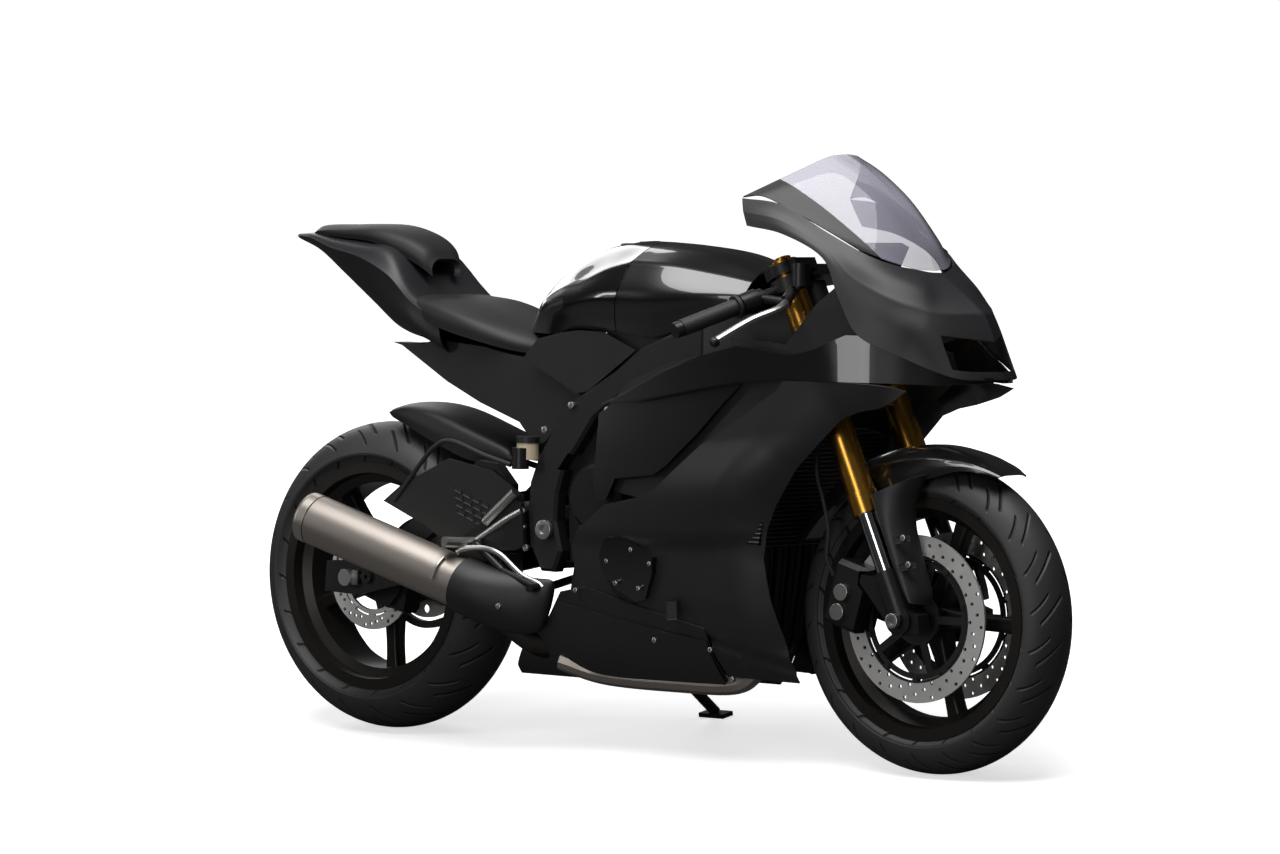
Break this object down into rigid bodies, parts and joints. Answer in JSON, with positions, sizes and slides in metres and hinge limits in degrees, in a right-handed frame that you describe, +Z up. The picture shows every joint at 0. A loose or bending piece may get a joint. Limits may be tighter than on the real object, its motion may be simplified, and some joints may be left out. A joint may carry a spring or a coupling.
{
  "type": "sport motorcycle",
  "caption": "Fully faired sport motorcycle parked on its side stand: twin-spar frame, upside-down fork, single round-ended silencer on the right, two spoked wheels that turn.",
  "frame": {"origin": "on the ground, under the middle of the parked bike's box", "axes": "+X forward, +Y to the rider's left, +Z up; the bike leans to +Y on its side stand"},
  "size_m": [1.9898, 0.6938, 1.1801],
  "materials": {
    "satin_black_panel": "satin",
    "gloss_black_panel": "gloss",
    "black_plastic": "textured",
    "clear_screen": "gloss",
    "seat_cover": "grained",
    "tank_paint": "gloss",
    "frame_paint": "satin",
    "gold_anodised": "satin",
    "chrome_tube": "polished",
    "black_aluminium": "satin",
    "bare_aluminium": "satin",
    "rim_paint": "satin",
    "tyre_rubber": "matte",
    "disc_steel": "brushed",
    "titanium": "brushed",
    "grip_rubber": "matte",
    "engine_metal": "cast",
    "chain_steel": "oiled"
  },
  "bodies": {
    "chassis": {"frame": "frame_paint", "engine_block": "engine_metal", "engine_covers": "black_aluminium", "radiator": "black_aluminium", "exhaust_header": "titanium", "silencer": "titanium", "silencer_cover": "black_plastic", "instrument_panel": "black_plastic", "rearsets": "bare_aluminium", "swingarm": "frame_paint", "rear_axle": "bare_aluminium", "rear_caliper": "black_aluminium", "drive_chain": "chain_steel", "rear_hugger": "black_plastic", "shock_absorber": "black_aluminium", "side_fairing_right": "satin_black_panel", "side_fairing_left": "satin_black_panel", "upper_panels": "gloss_black_panel", "cockpit_panels": "black_plastic", "belly_pan": "satin_black_panel", "upper_cowl": "satin_black_panel", "windscreen": "clear_screen", "rider_seat": "seat_cover", "pillion_pad": "seat_cover", "tail_cowl": "satin_black_panel", "subframe": "black_plastic", "fuel_tank": "tank_paint", "tank_cover": "gloss_black_panel", "tank_side_covers": "black_plastic"},
    "steering": {"triple_clamps": "black_aluminium", "fork_outer_tubes": "gold_anodised", "fork_inner_tubes": "chrome_tube", "axle_carriers": "black_aluminium", "front_calipers": "black_aluminium", "handlebars": "black_aluminium", "grips": "grip_rubber", "hand_controls": "black_aluminium", "front_fender": "satin_black_panel"},
    "front_wheel": {"front_rim": "rim_paint", "front_tyre": "tyre_rubber", "front_discs": "disc_steel"},
    "rear_wheel": {"rear_rim": "rim_paint", "rear_tyre": "tyre_rubber", "rear_disc": "disc_steel", "rear_sprocket": "disc_steel"},
    "side_stand": {"side_stand": "black_aluminium"},
    "fuel_cap": {"fuel_cap": "black_aluminium"}
  },
  "joints": [
    {"name": "steering", "type": "hinge", "parent": "chassis", "child": "steering", "pos_m": [0.66447, -0.09001, 0.28333], "axis": [-0.4064, 0.1508, 0.9012], "range_deg": [-27, 27]},
    {"name": "front_wheel_spin", "type": "hinge", "parent": "steering", "child": "front_wheel", "pos_m": [0.695, -0.08777, 0.29672], "axis": [0, 0.9863, -0.165], "continuous": true},
    {"name": "rear_wheel_spin", "type": "hinge", "parent": "chassis", "child": "rear_wheel", "pos_m": [-0.68, -0.08522, 0.31199], "axis": [0, 0.9863, -0.165], "continuous": true},
    {"name": "side_stand_fold", "type": "hinge", "parent": "chassis", "child": "side_stand", "pos_m": [-0.10254, 0.0161, 0.17823], "axis": [0.098, 0.7807, 0.6171], "range_deg": [0, 101.7]},
    {"name": "fuel_cap_lid", "type": "hinge", "parent": "chassis", "child": "fuel_cap", "pos_m": [-0.00025, 0.02863, 0.99229], "axis": [0, 0.9863, -0.165], "range_deg": [0, 100]}
  ]
}
